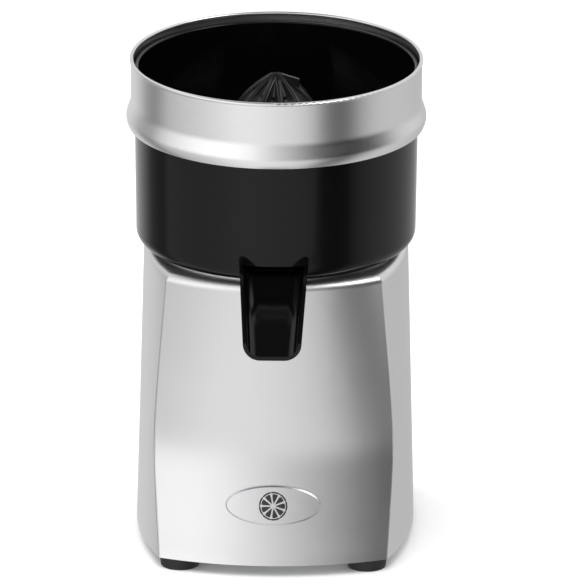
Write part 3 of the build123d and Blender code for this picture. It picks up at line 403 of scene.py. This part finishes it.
def makeReamer(look):
    # Ridges lie on the arc from the cone's foot over its shoulder to its tip. Between two ridges the
    # surface is moved towards the arc's centre by depth * (1 - |2 f|^power), where f runs from -1/2 at one
    # ridge to +1/2 at the next and depth is a share of the radius, up to its full value.
    low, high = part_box("reamer")
    foot = np.array([(high.x - low.x) / 2 - look["brim"], low.z + look["footHeight"]])
    tip = np.array([look["tipRadius"], high.z - look["tipDrop"]])
    shoulder = np.array([foot[0] - look["shoulderIn"], high.z - look["shoulderDrop"]])
    centre, radius = circleThrough(foot, shoulder, tip)
    start, end = np.arctan2(foot[1] - centre[1], foot[0] - centre[0]), np.arctan2(*(tip - centre)[::-1])
    slope = np.linspace(start, end, look["rows"])
    steps = look["ribs"] * look["stepsPerRib"]
    share = np.arange(steps) / look["stepsPerRib"]
    turn = np.radians(look["turn"]) + share * 2 * np.pi / look["ribs"]
    offset = np.abs(2 * (share % 1.0) - 1.0)          # 1 on a ridge, 0 in the middle of a flute
    ridge = centre[0] + radius * np.cos(slope)
    depth = np.minimum(look["depth"], look["depthShare"] * ridge)
    moved = radius - depth[:, None] * (1 - offset ** look["scoopPower"])[None, :]
    r = centre[0] + moved * np.cos(slope)[:, None]
    z = centre[1] + moved * np.sin(slope)[:, None]
    brimRadius = np.full((3, steps), foot[0] + look["brim"])
    brimHeight = np.array([low.z, low.z + look["footHeight"] / 2, foot[1] - look["crown"]])[:, None]
    brimHeight = np.broadcast_to(brimHeight, brimRadius.shape)
    inward = np.array(look["crownRings"])[:, None]    # rings that close the tip, as shares of its radius
    r = np.vstack([brimRadius, np.full((1, steps), foot[0]), r, r[-1] * inward])
    z = np.vstack([brimHeight, np.full((1, steps), foot[1]), z, z[-1] + look["crown"] * (1 - inward ** 2)])
    x, y = shaftX + r * np.cos(turn), shaftY + r * np.sin(turn)
    cone = makePiece("reamerFlutes", np.stack([x, y, z], -1), gridQuads(*r.shape),
                     finishes["black_gloss_reamer"])
    wall = cone.modifiers.new("wall", "SOLIDIFY")
    wall.thickness = look["thickness"]
    wall.offset = -1.0
    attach(cone, "reamer")
    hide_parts("reamer")
    return tip


def makeSleeve(look, topZ):
    # a closed cup of revolution: the socket's roof, its bore, its foot and its outer wall
    low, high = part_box("reamer")
    roof, outer = low.z + look["boreDepth"], look["bore"] + look["wall"]
    radii = [0, look["bore"], look["bore"], outer, outer, 0]
    heights = [roof, roof, low.z, low.z, topZ - look["top"], topZ - look["top"]]
    points = turnedPoints(radii, heights, look["steps"], (shaftX, shaftY))
    piece = makePiece("reamerSleeve", points, gridQuads(len(radii), look["steps"]),
                      finishes["black_gloss_reamer"], smooth=False)
    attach(piece, "reamer")


def makeFin(look, tip, turn):
    # The outline lies in an upright plane through the shaft: along the sloping top, round the outer corner
    # and back underneath. It is carried across the blade's thickness, and a fan to its middle closes each face.
    bend = np.linspace(math.pi / 2, 0, look["cornerPoints"])
    top, bottom = tip[1] - look["slope"], tip[1] - look["height"]
    corner = np.stack([look["reach"] - look["corner"] + look["corner"] * np.cos(bend),
                       top - look["corner"] + look["corner"] * np.sin(bend)], -1)
    outline = np.vstack([[(look["start"], tip[1]), (tip[0], tip[1])], corner,
                         [(look["reach"] - look["lean"], bottom), (look["root"], bottom + look["rootRise"]),
                          (look["start"], bottom)]])
    middle = np.broadcast_to(outline.mean(0), outline.shape)
    along = np.stack([middle[:, 0], outline[:, 0], outline[:, 0], middle[:, 0]])
    height = np.stack([middle[:, 1], outline[:, 1], outline[:, 1], middle[:, 1]])
    half = look["thickness"] / 2
    across = np.broadcast_to(np.array([-half, -half, half, half])[:, None], along.shape)
    a = math.radians(turn)
    x = shaftX + along * math.cos(a) - across * math.sin(a)
    y = shaftY + along * math.sin(a) + across * math.cos(a)
    piece = makePiece("reamerFin", np.stack([x, y, height], -1), gridQuads(*along.shape),
                      finishes["black_gloss_reamer"], smooth=False)
    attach(piece, "reamer")


reamerTip = makeReamer(reamerShape)
makeSleeve(sleeve, reamerTip[1])
makeFin(fin, reamerTip, reamerShape["turn"])
print("reamer made")


# badge: a generic slice of fruit in dark enamel

emblem = dict(radius=0.0098, ringWidth=0.0011, core=0.0014, gap=0.0005, segments=9, proud=0.00022,
              sunk=0.00025, turns=28, rim=14, squareness=8)
lookingForward = -0.93      # faces of the badge whose normal's y is below this are its front


def badgeFront():
    # a curved sheet y = a + b x + c z + d x^2 + e z^2 fitted to the faces of the badge that look forward
    mesh = frame["nodes"]["badge"].data
    count = len(mesh.polygons)
    normals, centres = np.empty(3 * count), np.empty(3 * count)
    mesh.polygons.foreach_get("normal", normals)
    mesh.polygons.foreach_get("center", centres)
    normals, centres = normals.reshape(-1, 3), centres.reshape(-1, 3)
    x, y, z = centres[normals[:, 1] < lookingForward].T
    terms = np.stack([np.ones_like(x), x, z, x ** 2, z ** 2], -1)
    return np.linalg.lstsq(terms, y, rcond=None)[0]


def pillow(inner, outer, middle, half, look):
    # a low closed pillow between two radii and two bearings: q runs from one end to the other, p round an
    # oval section, and the section's width, (1 - |q|^squareness)^0.5, falls to nothing at both ends
    along = np.linspace(-1, 1, look["turns"])
    around = np.linspace(0, 2 * np.pi, look["rim"], endpoint=False)
    q, p = np.meshgrid(along, around, indexing="ij")
    width = (1 - np.abs(q) ** look["squareness"]) ** 0.5
    r = (inner + outer) / 2 + (outer - inner) / 2 * width * np.sign(np.cos(p)) * np.abs(np.cos(p)) ** 0.5
    bearing = middle + q * (half - look["gap"] / np.maximum(r, look["core"]))
    return r * np.cos(bearing), r * np.sin(bearing), width * np.sin(p)


def makeEmblem(look):
    low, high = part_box("badge")
    middleX, middleZ = (low.x + high.x) / 2, (low.z + high.z) / 2
    fit = badgeFront()
    pitch = 2 * np.pi / look["segments"]
    ringInner = look["radius"] - look["ringWidth"]
    parts = [pillow(look["core"], ringInner - look["gap"], pitch * i, pitch / 2, look)
             for i in range(look["segments"])]
    parts += [pillow(ringInner, look["radius"], pitch * i, pitch / 2 + look["gap"] / ringInner, look)
              for i in range(look["segments"])]
    points, faces = [], []
    for u, v, height in parts:          # across, up and out of the badge
        x, z = middleX + u, middleZ + v
        front = fit[0] + fit[1] * x + fit[2] * z + fit[3] * x ** 2 + fit[4] * z ** 2
        y = front - np.where(height > 0, look["proud"] * height, look["sunk"] * height)
        faces.append(gridQuads(*u.shape)[:, ::-1] + len(points) * u.size)
        points.append(np.stack([x, y, z], -1).reshape(-1, 3))
    piece = makePiece("badgeSlice", np.vstack(points), np.vstack(faces), finishes["matte_black"])
    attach(piece, "housing")
    return piece


makeEmblem(emblem)
print("badge emblem made")


# studio: floor, room, light and camera

studio = dict(floorSize=60.0, floorColour=(0.97, 0.97, 0.97), fill=1.0, levelFrom=-13.0, levelTo=1.0,
              roofGlow=1.05, roofLow=22.0, roofHigh=42.0, zenithGlow=0.10, zenithLow=52.0, zenithHigh=66.0,
              patchBearing=72.0, patchElevation=50.0, patchInner=8.0, patchOuter=18.0, patchGlow=5.0)
# How bright the room is round the object, by bearing in degrees: 0 is in front of the spout, 90 on its
# right. The first list is the room at eye height and above, the second is the room below it.
levelRing = [(-180, 0.75), (-150, 0.86), (-134, 0.66), (-120, 0.42), (-108, 0.40), (-98, 0.84), (-80, 1.15),
             (-60, 1.42), (-40, 1.52), (-25, 1.45), (-15, 1.24), (-5, 0.92), (5, 0.68), (15, 0.50), (25, 0.30),
             (33, 0.08), (40, 0.02), (72, 0.02), (84, 0.14), (95, 0.44), (110, 0.80), (140, 0.90), (180, 0.75)]
lowRing = [(-180, 0.75), (-150, 0.86), (-134, 0.66), (-120, 0.30), (-108, 0.24), (-98, 0.60), (-80, 0.70),
           (-55, 0.84), (-40, 0.98), (-25, 1.10), (0, 1.02), (20, 0.90), (30, 0.78), (37, 0.30), (46, 0.12),
           (58, 0.12), (66, 0.34), (76, 0.58), (90, 0.72), (110, 0.72), (135, 0.66), (160, 0.62), (180, 0.75)]


def makeFloor():
    half = studio["floorSize"] / 2
    corners = [(-half, -half, 0), (half, -half, 0), (half, half, 0), (-half, half, 0)]
    material, tree, shader, vector = startMaterial("paperSweep")
    grain = addEffect(tree, "grain", vector, Scale=300.0)
    shader.inputs["Base Color"].default_value = (*studio["floorColour"], 1)
    tree.links.new(spread(tree, grain, 0.75, 0.95), shader.inputs["Roughness"])
    shader.inputs["Specular IOR Level"].default_value = 0.2
    floor = makePiece("paperSweep", corners, [(0, 1, 2, 3)], material, smooth=False)
    floor.visible_glossy = False        # polished sides mirror the room instead


def ringNode(tree, position, ring):
    # brightness read off a curve drawn through the ring's points; position runs from 0 to 1
    node = tree.nodes.new("ShaderNodeFloatCurve")
    points = node.mapping.curves[0].points
    spots = [((bearing + 180) / 360, glow / 2) for bearing, glow in ring]
    points[0].location, points[len(points) - 1].location = spots[0], spots[-1]
    for spot in spots[1:-1]:
        points.new(*spot)
    node.mapping.update()
    tree.links.new(position, node.inputs["Value"])
    return mathNode(tree, "MULTIPLY", node.outputs["Value"], 2.0)


def easedStep(tree, value, low, high):
    # 0 below low, 1 above high, eased between them
    node = tree.nodes.new("ShaderNodeMapRange")
    node.interpolation_type = "SMOOTHSTEP"
    tree.links.new(value, node.inputs["Value"])
    node.inputs["From Min"].default_value = low
    node.inputs["From Max"].default_value = high
    return node.outputs["Result"]


def blendValues(tree, factor, a, b):
    node = tree.nodes.new("ShaderNodeMix")
    tree.links.new(factor, node.inputs["Factor"])
    for label, value in (("A", a), ("B", b)):
        if isinstance(value, (int, float)):
            node.inputs[label].default_value = value
        else:
            tree.links.new(value, node.inputs[label])
    return node.outputs["Result"]


def makeWorld():
    # an even white fill, and for polished surfaces a room of white screens with dark gaps between them
    world = bpy.data.worlds.new("studio")
    world.use_nodes = True
    tree = world.node_tree
    links = tree.links
    background = tree.nodes["Background"]
    place = tree.nodes.new("ShaderNodeTexCoord")
    split = tree.nodes.new("ShaderNodeSeparateXYZ")
    links.new(place.outputs["Generated"], split.inputs[0])
    elevation = mathNode(tree, "DEGREES", mathNode(tree, "ARCSINE", split.outputs["Z"]))
    backward = mathNode(tree, "MULTIPLY", split.outputs["Y"], -1.0)
    bearing = mathNode(tree, "DEGREES", mathNode(tree, "ARCTAN2", split.outputs["X"], backward))
    turn = mathNode(tree, "DIVIDE", mathNode(tree, "ADD", bearing, 180.0), 360.0)
    walls = blendValues(tree, easedStep(tree, elevation, studio["levelFrom"], studio["levelTo"]),
                        ringNode(tree, turn, lowRing), ringNode(tree, turn, levelRing))
    glow = blendValues(tree, easedStep(tree, elevation, studio["roofLow"], studio["roofHigh"]), walls,
                       studio["roofGlow"])
    glow = blendValues(tree, easedStep(tree, elevation, studio["zenithLow"], studio["zenithHigh"]), glow,
                       studio["zenithGlow"])
    # a small bright lamp head, high on the right
    b, e = math.radians(studio["patchBearing"]), math.radians(studio["patchElevation"])
    towards = tree.nodes.new("ShaderNodeVectorMath")
    towards.operation = "DOT_PRODUCT"
    links.new(place.outputs["Generated"], towards.inputs[0])
    towards.inputs[1].default_value = (math.sin(b) * math.cos(e), -math.cos(b) * math.cos(e), math.sin(e))
    apart = mathNode(tree, "DEGREES", mathNode(tree, "ARCCOSINE", towards.outputs["Value"]))
    patch = easedStep(tree, apart, studio["patchOuter"], studio["patchInner"])
    glow = mathNode(tree, "ADD", glow, mathNode(tree, "MULTIPLY", patch, studio["patchGlow"]))
    path = tree.nodes.new("ShaderNodeLightPath")
    seen = blendValues(tree, path.outputs["Is Glossy Ray"], studio["fill"], glow)
    background.inputs["Color"].default_value = (1.0, 1.0, 1.0, 1)
    links.new(seen, background.inputs["Strength"])
    bpy.context.scene.world = world


def aimAt(thing, target):
    direction = Vector(target) - thing.location
    thing.rotation_euler = direction.to_track_quat("-Z", "Y").to_euler()


def makeSoftbox(name, place, target, width, height, power):
    # lights what is matte; the screens above stand for it in what is polished
    data = bpy.data.lights.new(name, "AREA")
    data.shape = "RECTANGLE"
    data.size, data.size_y = width, height
    data.energy = power
    lamp = bpy.data.objects.new(name, data)
    bpy.context.scene.collection.objects.link(lamp)
    lamp.location = place
    lamp.visible_glossy = False
    aimAt(lamp, target)


def makeCamera():
    # a long lens from far off, a little above the rim and a touch to the right of the spout
    view = dict(distance=14.0, elevation=19.1, azimuth=0.8, scale=1450.0, across=0.0112, up=0.1741,
                roll=0.2, filmWidth=36.0, frameWidth=584)
    data = bpy.data.cameras.new("productCamera")
    data.sensor_width = view["filmWidth"]
    data.lens = view["scale"] * view["distance"] * view["filmWidth"] / view["frameWidth"]
    data.clip_start, data.clip_end = 0.5, 60.0
    camera = bpy.data.objects.new("productCamera", data)
    bpy.context.scene.collection.objects.link(camera)
    e, a = math.radians(view["elevation"]), math.radians(view["azimuth"])
    target = Vector((shaftX + view["across"], shaftY, view["up"]))
    back = Vector((math.sin(a) * math.cos(e), -math.cos(a) * math.cos(e), math.sin(e)))
    camera.location = target + back * view["distance"]
    aimAt(camera, target)
    camera.rotation_euler.rotate_axis("Z", math.radians(view["roll"]))
    bpy.context.scene.camera = camera


topBox = dict(place=(shaftX - 0.3, shaftY - 0.4, 1.7), target=(shaftX, shaftY, 0.18), width=2.0, height=1.6,
              power=22.0)

makeFloor()
makeWorld()
makeCamera()
makeSoftbox("topBox", **topBox)
bpy.context.scene.view_settings.view_transform = "Standard"
print("studio, camera and lights made")
